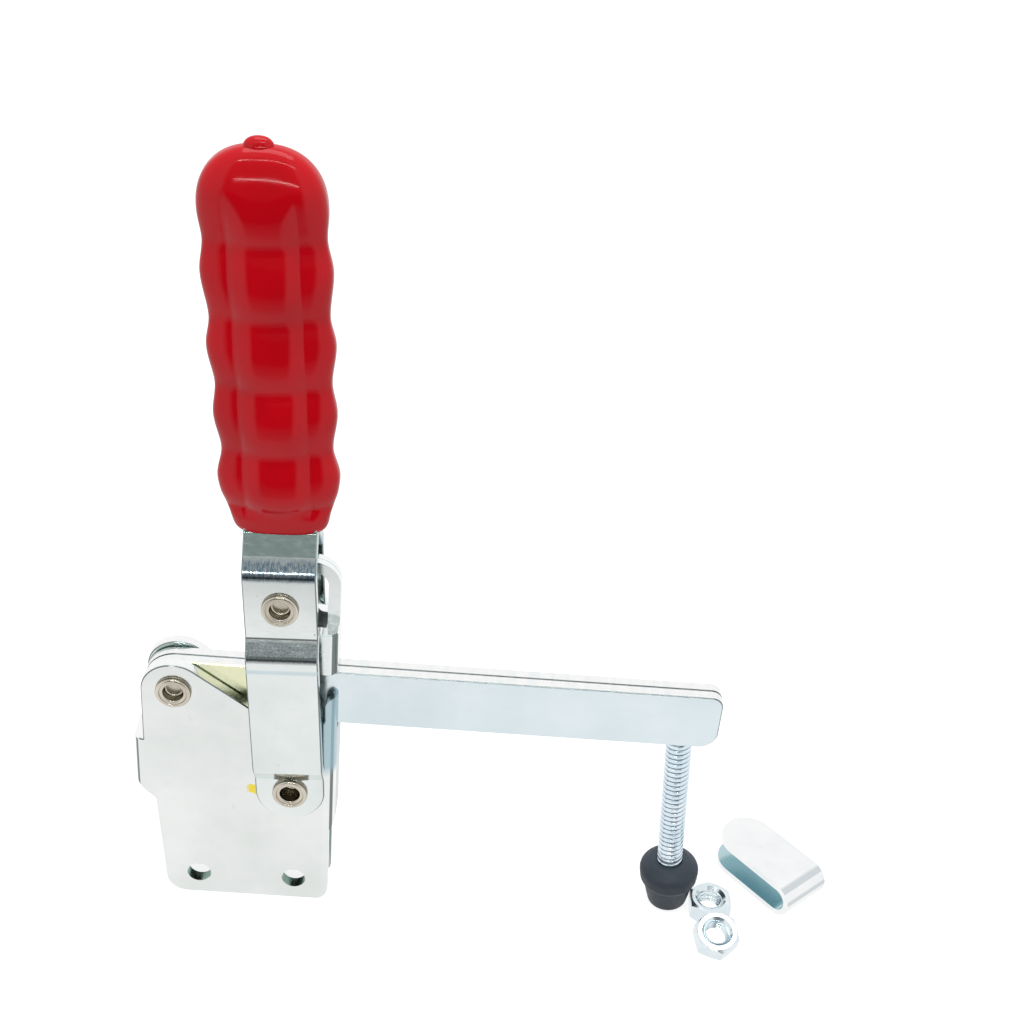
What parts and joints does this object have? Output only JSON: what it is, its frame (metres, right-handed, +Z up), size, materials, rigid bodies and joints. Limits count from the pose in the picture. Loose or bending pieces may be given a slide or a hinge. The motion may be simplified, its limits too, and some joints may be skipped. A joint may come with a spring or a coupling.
{
  "type": "toggle clamp",
  "caption": "Hold-down toggle clamp with an upright handle in a dipped grip, a straight side-mount base and a solid arm, with its loose capped spindle, nuts and bolt retainer.",
  "frame": {"origin": "on the plane of the base's bottom edges, straight under the rear pivot, midway between the side plates", "axes": "+X along the closed arm towards its tip, +Y across from the near side plate to the far one, parallel to the pivots, +Z up the handle"},
  "size_m": [0.2763, 0.0687, 0.3149],
  "materials": {
    "zinc_plated_steel": "bright zinc plate, satin",
    "rivet_nickel": "warm nickel plate, polished",
    "bright_steel": "bright zinc plate",
    "red_vinyl": "glossy dipped vinyl",
    "black_rubber": "matt moulded rubber"
  },
  "bodies": {
    "base": {"base_near_plate": "zinc_plated_steel", "base_far_plate": "zinc_plated_steel", "front_rivet": "rivet_nickel", "front_spacer": "zinc_plated_steel", "rear_rivet_near": "rivet_nickel", "rear_rivet_far": "rivet_nickel", "spindle": "bright_steel", "spindle_cap": "black_rubber", "bolt_retainer": "zinc_plated_steel", "spindle_nut_1": "bright_steel", "spindle_nut_2": "bright_steel"},
    "handle": {"handle_near_plate": "zinc_plated_steel", "handle_far_plate": "zinc_plated_steel", "handle_grip": "red_vinyl", "upper_rivet": "rivet_nickel"},
    "link": {"link": "zinc_plated_steel", "link_spacer": "zinc_plated_steel", "middle_rivet": "rivet_nickel"},
    "arm": {"arm_near_bar": "zinc_plated_steel", "arm_far_bar": "zinc_plated_steel", "rear_rivet_core": "rivet_nickel"}
  },
  "joints": [
    {"name": "handle_swing", "type": "hinge", "parent": "base", "child": "handle", "pos_m": [0.0434, 0, 0.0606], "axis": [0, -1, 0], "range_deg": [0, 58]},
    {"name": "link_swing", "type": "hinge", "parent": "handle", "child": "link", "pos_m": [0.03949, 0, 0.14661], "axis": [0, -1, 0], "range_deg": [0, 89.72]},
    {"name": "arm_swing", "type": "hinge", "parent": "link", "child": "arm", "pos_m": [0.04159, 0, 0.10046], "axis": [0, -1, 0], "range_deg": [-43.08, 0]}
  ],
  "couplings": [
    {"joint": "link_swing", "follows": "handle_swing", "ratio": 1.5468},
    {"joint": "arm_swing", "follows": "handle_swing", "ratio": -0.74264}
  ]
}
